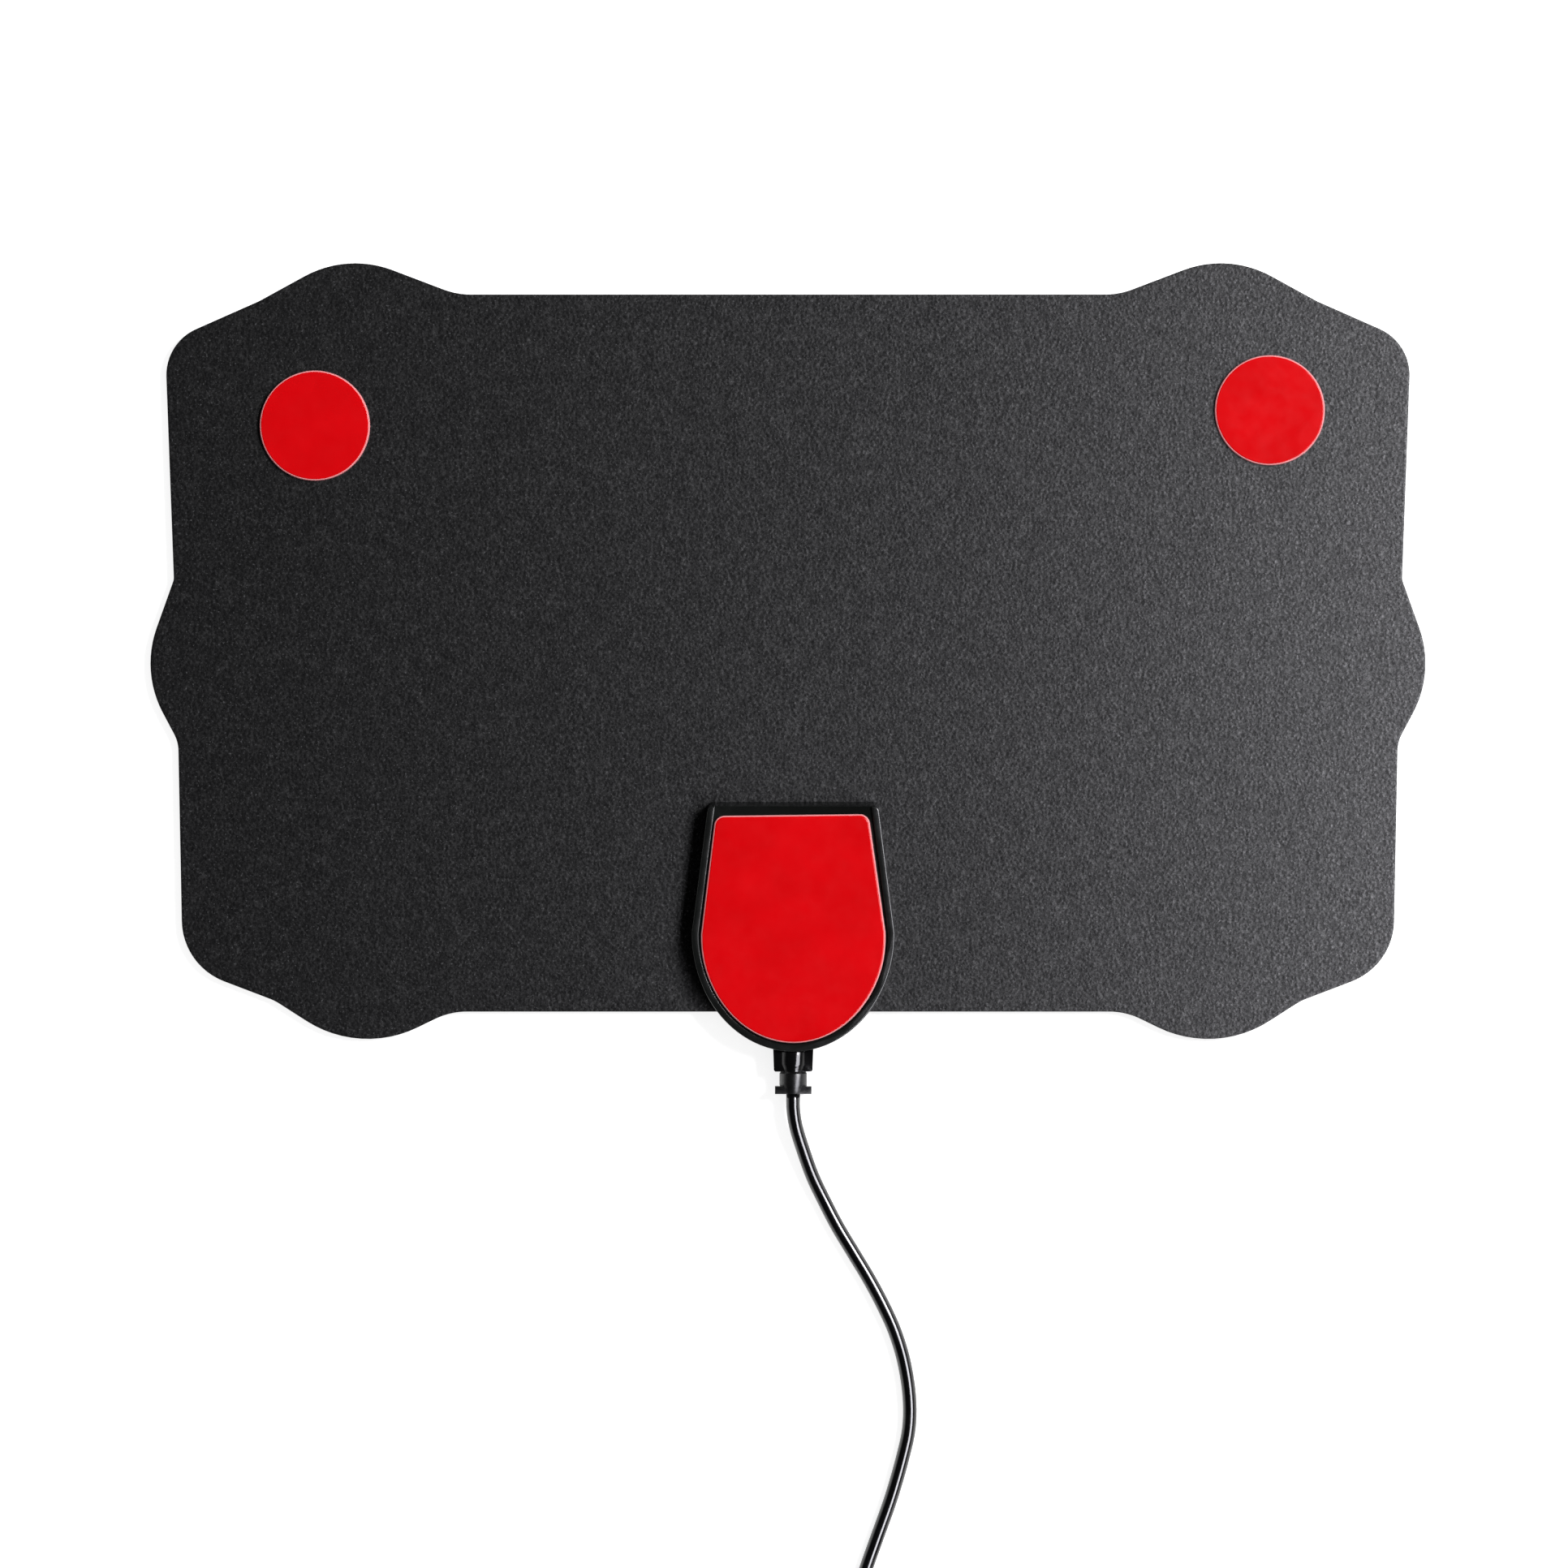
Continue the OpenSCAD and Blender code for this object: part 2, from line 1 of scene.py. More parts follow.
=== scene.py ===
import math
import bpy
import bmesh
import numpy as np
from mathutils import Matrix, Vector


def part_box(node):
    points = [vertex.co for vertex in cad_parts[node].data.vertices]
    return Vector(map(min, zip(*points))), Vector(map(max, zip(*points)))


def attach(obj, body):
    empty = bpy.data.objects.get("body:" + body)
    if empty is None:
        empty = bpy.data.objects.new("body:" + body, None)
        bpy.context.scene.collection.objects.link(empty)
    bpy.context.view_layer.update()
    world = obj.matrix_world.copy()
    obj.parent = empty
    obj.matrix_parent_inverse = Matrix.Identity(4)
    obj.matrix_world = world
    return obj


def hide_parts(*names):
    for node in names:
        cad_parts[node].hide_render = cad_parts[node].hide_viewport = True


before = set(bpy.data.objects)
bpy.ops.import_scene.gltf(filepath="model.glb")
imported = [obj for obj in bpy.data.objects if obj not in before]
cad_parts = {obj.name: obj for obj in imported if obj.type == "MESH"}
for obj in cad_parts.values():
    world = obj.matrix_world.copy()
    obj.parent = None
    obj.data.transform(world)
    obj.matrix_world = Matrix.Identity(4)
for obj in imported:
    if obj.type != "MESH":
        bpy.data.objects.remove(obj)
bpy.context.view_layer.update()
# lengths below are in millimetres, but the studio's are in metres, and texture scales per metre
mm = 0.001
body = "root"  # a part with no joints has this one body
print("frame:", len(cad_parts), "nodes")

scene = bpy.context.scene
scene.view_settings.view_transform = "Standard"

# the photograph looks straight down from far off, so the lens is long
overhead = {
    "pixels": 1932,
    "mmPerPixel": 0.185,
    "middle": (-0.9, -24.1),
    "height": 1500.0,
    "sensor": 36.0,
    "trueAt": 2.6,  # height at which the scale holds
}


def addCamera():
    data = bpy.data.cameras.new("overheadCamera")
    data.sensor_width = overhead["sensor"]
    width = overhead["pixels"] * overhead["mmPerPixel"]
    data.lens = overhead["sensor"] * (overhead["height"] - overhead["trueAt"]) / width
    camera = bpy.data.objects.new("overheadCamera", data)
    camera.location = [v * mm for v in (*overhead["middle"], overhead["height"])]
    scene.collection.objects.link(camera)
    scene.camera = camera


addCamera()


# a new closed mesh, points in millimetres, with its faces turned outwards
def addPiece(name, points, faces, replaced, finish):
    mesh = bpy.data.meshes.new(name)
    mesh.from_pydata((np.asarray(points) * mm).tolist(), [], [list(map(int, f)) for f in faces])
    work = bmesh.new()
    work.from_mesh(mesh)
    bmesh.ops.recalc_face_normals(work, faces=work.faces)
    work.to_mesh(mesh)
    work.free()
    mesh.polygons.foreach_set("use_smooth", np.ones(len(mesh.polygons), bool))
    return addObject(name, mesh, replaced, finish)


# links a mesh as a piece that rides on the antenna and stands for the replaced nodes
def addObject(name, mesh, replaced, finish):
    piece = bpy.data.objects.new(name, mesh)
    scene.collection.objects.link(piece)
    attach(piece, body)
    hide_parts(*replaced)
    dress(mesh, finish)
    return piece


def dress(mesh, finish):
    mesh.materials.clear()
    mesh.materials.append(finish)


# quads of a grid of points, rows along a path and columns round it
def gridQuads(rows, columns):
    r = np.arange(rows - 1)[:, None] * columns
    c = np.arange(columns)[None, :]
    n = (c + 1) % columns
    return np.stack([r + c, r + n, r + columns + n, r + columns + c], axis=-1).reshape(-1, 4)


def unit(v):
    return v / np.linalg.norm(v, axis=-1, keepdims=True)


# 0 before the start, 1 after the end, and 3s^2 - 2s^3 between
def ease(s):
    s = np.clip(s, 0.0, 1.0)
    return s * s * (3.0 - 2.0 * s)


# the cable: one line from the strain relief through the coil to the plug
cable = {
    "diameter": 3.2,
    "sides": 16,
    "ringGap": 1.5,
    "perPiece": 12,  # points on each piece of a smooth line
    "reliefEnd": (1.2, -94.6, 4.3),
    "realLength": 3000.0,
    "coilMiddle": (43.3, -238.0),
    "coilRadius": 22.0,
    "turnPitch": 3.35,
    "turnsAcross": 5,
    "turnsUp": 4,
    "lead": 14.0,  # straight stretch at each end of the coil
    "skin": 0.1,  # gap between the lowest turns and the floor
    "stepsPerTurn": 90,
    "lastTurn": 0.25,  # share of a turn past the last whole one
    "slide": 0.14,  # share of a turn in which it moves to the next place
    "bulge": 1.25,  # how far a turn swings out where it climbs a layer
    "tieAngle": 60.0,
    "tieReach": 11.0,  # degrees over which the tie draws the turns together
    "tieSqueeze": (0.045, 0.055),  # share by which it does so, across and up
    "gripStart": 93.0,
    "gripHeight": 5.5,
}
# the route from the relief to the coil, the same points as the solid's
cableRoute = [
    (1.2, -94.6, 4.3), (1.2, -98, 4.3), (1.8, -102, 3.9), (3.3, -107, 3), (5.6, -113.5, 2.1),
    (8.2, -119, 1.7), (11.3, -125, 1.6), (14.9, -131, 1.6), (18.5, -137, 1.6), (21.7, -143, 1.6),
    (24.4, -149, 1.6), (26.5, -156, 1.6), (27.7, -164, 1.6), (27.6, -171, 1.6), (26.1, -178, 1.6),
    (23.5, -187, 1.6), (20.3, -196, 1.6), (17.5, -204, 1.6), (15.6, -211, 1.6), (14.6, -218, 1.7),
    (14.6, -224, 1.7),
]


# smooth line through given points: cubic pieces that pass each point with the slope of
# the chord between its two neighbours
def smoothLine(points):
    p = np.asarray(points, float)
    gaps = np.linalg.norm(np.diff(p, axis=0), axis=1)
    at = np.concatenate([[0.0], np.cumsum(gaps)])
    slope = np.empty_like(p)
    slope[1:-1] = (p[2:] - p[:-2]) / (at[2:] - at[:-2])[:, None]
    slope[0] = (p[1] - p[0]) / gaps[0]
    slope[-1] = (p[-1] - p[-2]) / gaps[-1]
    u = np.linspace(0.0, 1.0, cable["perPiece"], endpoint=False)[None, :, None]
    a, b, h = p[:-1, None], p[1:, None], gaps[:, None, None]
    line = (2 * u**3 - 3 * u**2 + 1) * a + (3 * u**2 - 2 * u**3) * b
    line = line + h * ((u**3 - 2 * u**2 + u) * slope[:-1, None] + (u**3 - u**2) * slope[1:, None])
    return np.vstack([line.reshape(-1, 3), p[-1]])


# the coil's line: a circle whose radius and height hold still for most of a turn and then ease
# to the next place in the bundle, outside in, then inside out one layer up, and so on
def coilLine():
    across, up = cable["turnsAcross"], cable["turnsUp"]
    k = np.arange(across * up)
    layer = k // across
    column = np.where(layer % 2 == 0, across - 1 - k % across, k % across)
    radius = cable["coilRadius"] + (column - (across - 1) / 2) * cable["turnPitch"]
    height = cable["diameter"] / 2 + cable["skin"] + layer * cable["turnPitch"]
    swing = np.where(column == 0, -cable["bulge"], cable["bulge"])
    turns = np.linspace(0.0, across * up + cable["lastTurn"], across * up * cable["stepsPerTurn"])
    now = np.minimum(turns.astype(int), k[-1])
    then = np.minimum(now + 1, k[-1])
    s = ease((turns - now - 1.0 + cable["slide"]) / cable["slide"])
    climbs = layer[then] != layer[now]
    r = radius[now] * (1 - s) + radius[then] * s + climbs * swing[now] * np.sin(np.pi * s)
    z = height[now] * (1 - s) + height[then] * s
    angle = np.pi * (1 + 2 * turns)
    off = (np.degrees(angle) - cable["tieAngle"] + 180.0) % 360.0 - 180.0
    pull = np.exp(-((off / cable["tieReach"]) ** 2))
    middle = (height[0] + height[-1]) / 2
    r = cable["coilRadius"] + (r - cable["coilRadius"]) * (1 - cable["tieSqueeze"][0] * pull)
    z = middle + (z - middle) * (1 - cable["tieSqueeze"][1] * pull)
    x0, y0 = cable["coilMiddle"]
    return np.column_stack([x0 + r * np.cos(angle), y0 + r * np.sin(angle), z])


# the whole cable's line in even steps, and its length
def cableLine():
    coil = coilLine()
    lastY, lastZ = coil[-1, 1], coil[-1, 2]
    out = cable["coilMiddle"][0] + cable["lead"]
    descent = [
        (out, lastY, lastZ), (61, lastY, lastZ), (67, lastY, 11), (73, lastY, 9.6), (79, lastY, 7.8),
        (85, lastY, 6.1), (90, lastY, cable["gripHeight"]),
        (cable["gripStart"], lastY, cable["gripHeight"]),
    ]
    line = np.vstack([smoothLine(cableRoute), coil, smoothLine(descent)])
    gaps = np.linalg.norm(np.diff(line, axis=0), axis=1)
    line = line[np.concatenate([[True], gaps > 1e-6])]
    gaps = np.linalg.norm(np.diff(line, axis=0), axis=1)
    at = np.concatenate([[0.0], np.cumsum(gaps)])
    even = np.linspace(0.0, at[-1], int(round(at[-1] / cable["ringGap"])) + 1)
    return np.column_stack([np.interp(even, at, line[:, axis]) for axis in range(3)]), at[-1]


# round tube: at each point of the line a circle square to it, across * cos + up * sin
def tubeGrid(line, radius, sides):
    along = unit(np.gradient(line, axis=0))
    across = unit(np.cross(along, [0.0, 0.0, 1.0]))
    up = np.cross(across, along)
    angle = 2 * np.pi * (np.arange(sides) + 0.5) / sides
    ring = np.cos(angle)[None, :, None] * across[:, None] + np.sin(angle)[None, :, None] * up[:, None]
    return (line[:, None] + radius * ring).reshape(-1, 3)


def addCable(finish):
    line, measured = cableLine()
    sides = cable["sides"]
    points = np.vstack([tubeGrid(line, cable["diameter"] / 2, sides), line[:1], line[-1:]])
    first = np.arange(sides)
    last = first + (len(line) - 1) * sides
    ends = [(a, b, len(points) - 2) for a, b in zip(first, np.roll(first, -1))]
    ends += [(a, b, len(points) - 1) for a, b in zip(last, np.roll(last, -1))]
    faces = list(gridQuads(len(line), sides)) + ends
    piece = addPiece("coaxCable", points, faces,
                     ["cable_run", "cable_coil", "cable_end"], finish)
    along = np.repeat(np.linspace(0.0, measured * mm, len(line)), sides)
    store = piece.data.attributes.new("along", "FLOAT", "POINT")
    store.data.foreach_set("value", np.concatenate([along, [0.0, measured * mm]]))
    print("cable:", round(measured), "mm along its line,", len(line), "rings")


# materials: a principled shader fed by noise and grain in object coordinates
def newFinish(name, **sockets):
    material = bpy.data.materials.new(name)
    material.use_nodes = True
    tree = material.node_tree
    shader = tree.nodes["Principled BSDF"]
    for socket, value in sockets.items():
        shader.inputs[socket.replace("_", " ")].default_value = value
    place = tree.nodes.new("ShaderNodeTexCoord").outputs["Object"]
    return material, tree, shader, place


def addNode(tree, kind, inputs, **settings):
    node = tree.nodes.new("ShaderNode" + kind)
    for key, value in settings.items():
        setattr(node, key, value)
    for key, value in inputs.items():
        if isinstance(value, bpy.types.NodeSocket):
            tree.links.new(value, node.inputs[key])
        else:
            node.inputs[key].default_value = value
    return node


# scale is in waves per metre
def noise(tree, place, scale, detail=3.0, rough=0.55, distortion=0.0):
    return addNode(tree, "TexNoise", {"Vector": place, "Scale": scale, "Detail": detail,
                                      "Roughness": rough, "Distortion": distortion}).outputs["Fac"]


# maps a span of a value, by default the part that a noise mostly fills, onto a new range
def spread(tree, value, low, high, fromLow=0.3, fromHigh=0.7):
    return addNode(tree, "MapRange", {"Value": value, "From Min": fromLow, "From Max": fromHigh,
                                      "To Min": low, "To Max": high}).outputs["Result"]


def blendColour(tree, factor, one, two):
    mix = addNode(tree, "Mix", {}, data_type="RGBA")
    tree.links.new(factor, mix.inputs["Factor"])
    for socket, colour in zip("AB", (one, two)):
        if isinstance(colour, bpy.types.NodeSocket):
            tree.links.new(colour, mix.inputs[socket])
        else:
            mix.inputs[socket].default_value = (*colour, 1.0)
    return mix.outputs["Result"]


def mathNode(tree, operation, one, two):
    return addNode(tree, "Math", {0: one, 1: two}, operation=operation).outputs["Value"]


def bump(tree, height, distance, under=None):
    inputs = {"Height": height, "Distance": distance}
    if under:
        inputs["Normal"] = under
    return addNode(tree, "Bump", inputs).outputs["Normal"]


plainDrift = {
    "wave": 40.0,
    "tone": 0.12,
    "roughScale": 240.0,
    "roughness": 0.15,
}


# a moulded or rolled surface: its colour and its roughness drift a little, and a fine noise
# raises it
def simpleFinish(name, colour, roughness, grain, depth, **sockets):
    material, tree, shader, place = newFinish(name, **sockets)
    tone, rough = plainDrift["tone"], plainDrift["roughness"]
    slow = noise(tree, place, plainDrift["wave"], detail=2.0)
    tones = [tuple(min(1.0, c * k) for c in colour) for k in (1 - tone, 1 + tone)]
    tree.links.new(blendColour(tree, slow, *tones), shader.inputs["Base Color"])
    dull = noise(tree, place, plainDrift["roughScale"], detail=4.0)
    tree.links.new(spread(tree, dull, roughness * (1 - rough), roughness * (1 + rough)),
                   shader.inputs["Roughness"])
    fine = bump(tree, noise(tree, place, grain, detail=3.0), depth * mm)
    tree.links.new(fine, shader.inputs["Normal"])
    return material


sheetLook = {
    # dark is painted shade in the creases between cells and a random darker tone in the clouds
    "dark": (0.0004, 0.0004, 0.0005),
    "light": (0.0034, 0.0034, 0.0039),
    "speck": (0.07, 0.07, 0.075),
    "speckScale": 1900.0,
    "speckLevel": (0.62, 0.74),
    "roughness": (0.37, 0.49),
    "roughSpan": (0.0, 0.6),
    "warp": 420.0,
    "warpReach": 0.9,
    "cell": 1250.0,  # leather cells per metre
    "cellBlend": 0.6,
    "cellDepth": 0.052,
    "crease": (0.2, 0.75),  # how far from a cell's middle the crease sets in, in cells; the colour darkens there as painted shade
    "darkSpan": (0.0, 0.36),
    "fine": 3000.0,
    "fineDepth": 0.018,
    "mottle": 1600.0,  # crumbs in the grain that shine more or less than their neighbours
    "mottleSpan": (0.34, 0.66),
    "mottlePower": 1.7,  # above 1, bright crumbs are rarer than dull ones
    "shine": (0.2, 0.55),
    "cloud": 300.0,
    "cloudShine": (0.88, 1.12),
}


# leather grain: soft cells with creases between them, a finer noise, crumbs of unequal shine,
# and a few pale specks; the colour darkens towards the creases as painted shade, and in random clouds
def grainedFinish():
    look = sheetLook
    material, tree, shader, place = newFinish("grainedSheet")
    warp = addNode(tree, "TexNoise", {"Vector": place, "Scale": look["warp"], "Detail": 2.0})
    reach = (look["warpReach"] * mm,) * 3
    shift = addNode(tree, "VectorMath", {0: warp.outputs["Color"], 1: reach}, operation="MULTIPLY")
    spot = addNode(tree, "VectorMath", {0: place, 1: shift.outputs["Vector"]}, operation="ADD")
    cells = addNode(tree, "TexVoronoi", {"Vector": spot.outputs["Vector"], "Scale": look["cell"],
                                         "Randomness": 1.0, "Smoothness": look["cellBlend"]},
                    feature="SMOOTH_F1").outputs["Distance"]
    cloud = noise(tree, place, look["cloud"], detail=4.0, rough=0.6)

    mottle = noise(tree, place, look["mottle"], detail=3.0, rough=0.6, distortion=1.0)
    crumbs = mathNode(tree, "POWER", spread(tree, mottle, 0.0, 1.0, *look["mottleSpan"]),
                      look["mottlePower"])
    shine = mathNode(tree, "MULTIPLY", spread(tree, crumbs, *look["shine"], 0.0, 1.0),
                     spread(tree, cloud, *look["cloudShine"]))
    tree.links.new(shine, shader.inputs["Specular IOR Level"])

    # colour: painted shade in the creases between cells, scaled by random clouds; light in the cells'
    # middles
    tone = mathNode(tree, "MULTIPLY", spread(tree, cells, 0.0, 1.0, *look["crease"]), cloud)
    colour = blendColour(tree, spread(tree, tone, 0.0, 1.0, *look["darkSpan"]), look["light"],
                         look["dark"])
    specks = noise(tree, place, look["speckScale"], detail=2.0)
    specks = spread(tree, specks, 0.0, 1.0, *look["speckLevel"])
    tree.links.new(blendColour(tree, specks, colour, look["speck"]), shader.inputs["Base Color"])
    tree.links.new(spread(tree, tone, *look["roughness"], *look["roughSpan"]),
                   shader.inputs["Roughness"])

    grain = bump(tree, mathNode(tree, "SUBTRACT", 1.0, cells), look["cellDepth"] * mm)
    fine = noise(tree, place, look["fine"], detail=3.0, rough=0.6)
    tree.links.new(bump(tree, fine, look["fineDepth"] * mm, under=grain), shader.inputs["Normal"])
    return material


housingLook = {
    "tones": ((0.0034, 0.0042, 0.0038), (0.0056, 0.0064, 0.006)),
    "toneScale": 60.0,
    "polished": 0.2,
    "satin": 0.24,
    "driftScale": 350.0,
    "drift": (0.88, 1.12),
    "rimStart": (7.45, 7.65),  # height over which the recess's polish gives way to satin
    "grain": 3200.0,
    "grainDepth": 0.009,
}


# spark-eroded satin on the covers, and a polished floor in the recess that the pad sits in
def housingFinish():
    look = housingLook
    material, tree, shader, place = newFinish("housingPlastic")
    tree.links.new(blendColour(tree, noise(tree, place, look["toneScale"]), *look["tones"]),
                   shader.inputs["Base Color"])
    height = addNode(tree, "SeparateXYZ", {"Vector": place}).outputs["Z"]
    low, high = (v * mm for v in look["rimStart"])
    satin = spread(tree, height, look["polished"], look["satin"], low, high)
    drift = spread(tree, noise(tree, place, look["driftScale"], detail=4.0), *look["drift"])
    tree.links.new(mathNode(tree, "MULTIPLY", satin, drift), shader.inputs["Roughness"])
    fine = noise(tree, place, look["grain"], detail=3.0)
    tree.links.new(bump(tree, fine, look["grainDepth"] * mm), shader.inputs["Normal"])
    return material


reliefLook = {
    "colour": (0.003, 0.003, 0.0034, 1.0),
    "polished": 0.14,
    "satin": 0.31,
    "blockEnd": (-90.2, -89.4),  # along Y, where the block's polish gives way to the neck's satin
    "driftScale": 500.0,
    "drift": (0.8, 1.2),
    "marks": 700.0,
    "marksDepth": 0.03,
    "grain": 2500.0,
    "grainDepth": 0.005,
}


# strain relief: its block is polished and its neck and flange are satin, with flow marks all over
def reliefFinish():
    look = reliefLook
    material, tree, shader, place = newFinish("reliefPlastic", Base_Color=look["colour"])
    reach = addNode(tree, "SeparateXYZ", {"Vector": place}).outputs["Y"]
    low, high = (v * mm for v in look["blockEnd"])
    satin = spread(tree, reach, look["satin"], look["polished"], low, high)
    drift = spread(tree, noise(tree, place, look["driftScale"], detail=3.0), *look["drift"])
    tree.links.new(mathNode(tree, "MULTIPLY", satin, drift), shader.inputs["Roughness"])
    marks = bump(tree, noise(tree, place, look["marks"], detail=2.0), look["marksDepth"] * mm)
    grain = noise(tree, place, look["grain"], detail=2.0)
    tree.links.new(bump(tree, grain, look["grainDepth"] * mm, under=marks), shader.inputs["Normal"])
    return material


redFilmLook = {
    "tones": ((0.62, 0.0006, 0.002), (0.83, 0.0024, 0.006)),
    "toneScale": 90.0,
    "specular": 0.12,
    "roughness": (0.16, 0.24),
    "roughScale": 300.0,
    "ripple": 70.0,
    "rippleDepth": 0.08,
    "crease": 700.0,
    "creaseDepth": 0.005,
}


# release film: a glossy skin with slow ripples and a few finer creases
def redFilmFinish():
    look = redFilmLook
    material, tree, shader, place = newFinish("redReleaseFilm", Specular_IOR_Level=look["specular"])
    tree.links.new(blendColour(tree, noise(tree, place, look["toneScale"], detail=3.0), *look["tones"]),
                   shader.inputs["Base Color"])
    tree.links.new(spread(tree, noise(tree, place, look["roughScale"]), *look["roughness"]),
                   shader.inputs["Roughness"])
    ripple = bump(tree, noise(tree, place, look["ripple"], detail=2.0), look["rippleDepth"] * mm)
    creases = noise(tree, place, look["crease"], detail=2.0)
    tree.links.new(bump(tree, creases, look["creaseDepth"] * mm, under=ripple), shader.inputs["Normal"])
    return material


jacketLook = {
    "colour": (0.0025, 0.0025, 0.003, 1.0),
    "specular": 0.8,
    "roughness": (0.11, 0.19),
    "roughScale": 200.0,
    "ripple": 260.0,
    "rippleDepth": 0.016,
    "skin": 3000.0,
    "skinDepth": 0.0015,
}


# cable jacket: extruded, so its faint ripple runs across the cable every few millimetres
def jacketFinish():
    look = jacketLook
    material, tree, shader, place = newFinish("cableJacket", Base_Color=look["colour"],
                                              Specular_IOR_Level=look["specular"])
    along = addNode(tree, "Attribute", {}, attribute_name="along").outputs["Fac"]
    spot = addNode(tree, "CombineXYZ", {"X": along}).outputs["Vector"]
    tree.links.new(spread(tree, noise(tree, place, look["roughScale"]), *look["roughness"]),
                   shader.inputs["Roughness"])
    ripple = bump(tree, noise(tree, spot, look["ripple"], detail=2.0), look["rippleDepth"] * mm)
    skin = noise(tree, place, look["skin"], detail=2.0)
    tree.links.new(bump(tree, skin, look["skinDepth"] * mm, under=ripple), shader.inputs["Normal"])
    return material


# the plainer materials: name, colour, roughness, grain per metre and its depth in millimetres
plainLooks = {
    "frontSheet": ("frontSheet", (0.018, 0.018, 0.019), 0.42, 1800.0, 0.01),
    "foam": ("padFoam", (0.98, 0.3, 0.315), 0.6, 5000.0, 0.03),
    "foil": ("rolledFoil", (0.85, 0.85, 0.87), 0.25, 900.0, 0.01),
    "steel": ("screwSteel", (0.62, 0.62, 0.64), 0.3, 2500.0, 0.004),
    "board": ("boardMask", (0.012, 0.14, 0.045), 0.35, 1200.0, 0.01),
    "chips": ("chipCeramic", (0.42, 0.28, 0.16), 0.55, 4000.0, 0.006),
    "ferrite": ("sinteredFerrite", (0.05, 0.05, 0.053), 0.6, 5000.0, 0.02),
    "copper": ("enamelledCopper", (0.66, 0.27, 0.12), 0.25, 2500.0, 0.004),
    "brass": ("stampedBrass", (0.76, 0.56, 0.25), 0.3, 2500.0, 0.004),
    "solder": ("brightSolder", (0.7, 0.7, 0.72), 0.22, 1500.0, 0.01),
    "braid": ("tinnedBraid", (0.6, 0.6, 0.58), 0.4, 6000.0, 0.06),
    "white": ("naturalInsulation", (0.8, 0.8, 0.77), 0.45, 2500.0, 0.006),
    "tie": ("tieBand", (0.012, 0.012, 0.012), 0.4, 2600.0, 0.01),
    "grip": ("gripPlastic", (0.009, 0.009, 0.0095), 0.3, 2600.0, 0.01),
    "plug": ("nickelPlate", (0.68, 0.66, 0.62), 0.2, 2500.0, 0.004),
}
# what a few of them have besides
metal = {"Metallic": 1.0}
extraSockets = {
    "foam": {"Subsurface_Weight": 0.15, "Subsurface_Radius": (0.001, 0.0006, 0.0006),
             "Subsurface_Scale": 1.0},
    "foil": metal, "steel": metal, "copper": metal, "brass": metal, "solder": metal,
    "braid": metal, "plug": metal,
}


def makeFinishes():
    made = {
        "grainedSheet": grainedFinish(),
        "housing": housingFinish(),
        "relief": reliefFinish(),
        "jacket": jacketFinish(),
        "redFilm": redFilmFinish(),
    }
    for key, look in plainLooks.items():
        made[key] = simpleFinish(*look, **extraSockets.get(key, {}))
    return made


finishes = makeFinishes()
print("finishes:", len(finishes))
addCable(finishes["jacket"])


# the outer outline of a flat node's top face, counter-clockwise, in millimetres
def outlineOf(node):
    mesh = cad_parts[node].data
    points = np.empty(len(mesh.vertices) * 3)
    mesh.vertices.foreach_get("co", points)
    points = np.round(points.reshape(-1, 3) / mm, 4)
    points, index = np.unique(points, axis=0, return_inverse=True)
    index = index.reshape(-1)
    mesh.calc_loop_triangles()
    corners = np.empty(len(mesh.loop_triangles) * 3, int)
    mesh.loop_triangles.foreach_get("vertices", corners)
    corners = index[corners].reshape(-1, 3)
    onTop = (points[corners, 2] > points[:, 2].max() - 1e-3).all(axis=1)
    edges = set()
    for a, b, c in corners[onTop].tolist():
        edges.update([(a, b), (b, c), (c, a)])
    follow = {a: b for a, b in edges if (b, a) not in edges}
    loops = []
    while follow:
        start, at = follow.popitem()
        loop = [start]
        while at != start:
            loop.append(at)
            at = follow.pop(at)
        loops.append(points[loop, :2])
    areas = [0.5 * np.sum(p[:, 0] * np.roll(p[:, 1], -1) - p[:, 1] * np.roll(p[:, 0], -1))
             for p in loops]
    return loops[int(np.argmax(np.abs(areas)))]


# moves each point of an outline in along the mean of its two sides' normals
def drawnIn(loop, d):
    sides = unit(np.roll(loop, -1, axis=0) - loop)
    mean = sides + np.roll(sides, 1, axis=0)
    normal = unit(np.column_stack([-mean[:, 1], mean[:, 0]]))
    return loop + d * normal


# stack of rings, each drawn in by d and lifted to z, closed below and above by one flat face
def slab(name, node, steps, finish, loop=None):
    loop = outlineOf(node) if loop is None else loop
    n = len(loop)
    points = np.vstack([np.column_stack([drawnIn(loop, d), np.full(n, z)]) for d, z in steps])
    faces = list(gridQuads(len(steps), n))
    faces += [list(range(n)), list(range((len(steps) - 1) * n, len(steps) * n))]
    addPiece(name, points, faces, [node], finish)


sheet = {
    "frontRound": 0.2,
    "backRound": 0.12,
    "bondRound": 0.03,
    "roundSteps": 5,
    "margin": 0.5,  # flat strip inside the rounding, which keeps the large face's shading level
}


# steps of a film's edge: a quarter circle at the bottom and at the top, then the flat margin
def edgeSteps(z0, z1, bottomR, topR):
    a = np.linspace(0.0, np.pi / 2, sheet["roundSteps"])
    low = [(bottomR * (1 - math.sin(t)), z0 + bottomR * (1 - math.cos(t))) for t in a]
    high = [(topR * (1 - math.cos(t)), z1 - topR * (1 - math.sin(t))) for t in a]
    return [(sheet["margin"] + bottomR, z0)] + low + high + [(sheet["margin"] + topR, z1)]


def nodeHeights(node):
    low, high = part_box(node)
    return low[2] / mm, high[2] / mm


def addSheet():
    z0, z1 = nodeHeights("back_film")
    slab("grainedBack", "back_film", edgeSteps(z0, z1, sheet["bondRound"], sheet["backRound"]),
         finishes["grainedSheet"])
    z0, z1 = nodeHeights("front_film")
    slab("smoothFront", "front_film", edgeSteps(z0, z1, sheet["frontRound"], sheet["bondRound"]),
         finishes["frontSheet"])


addSheet()
print("sheet done")


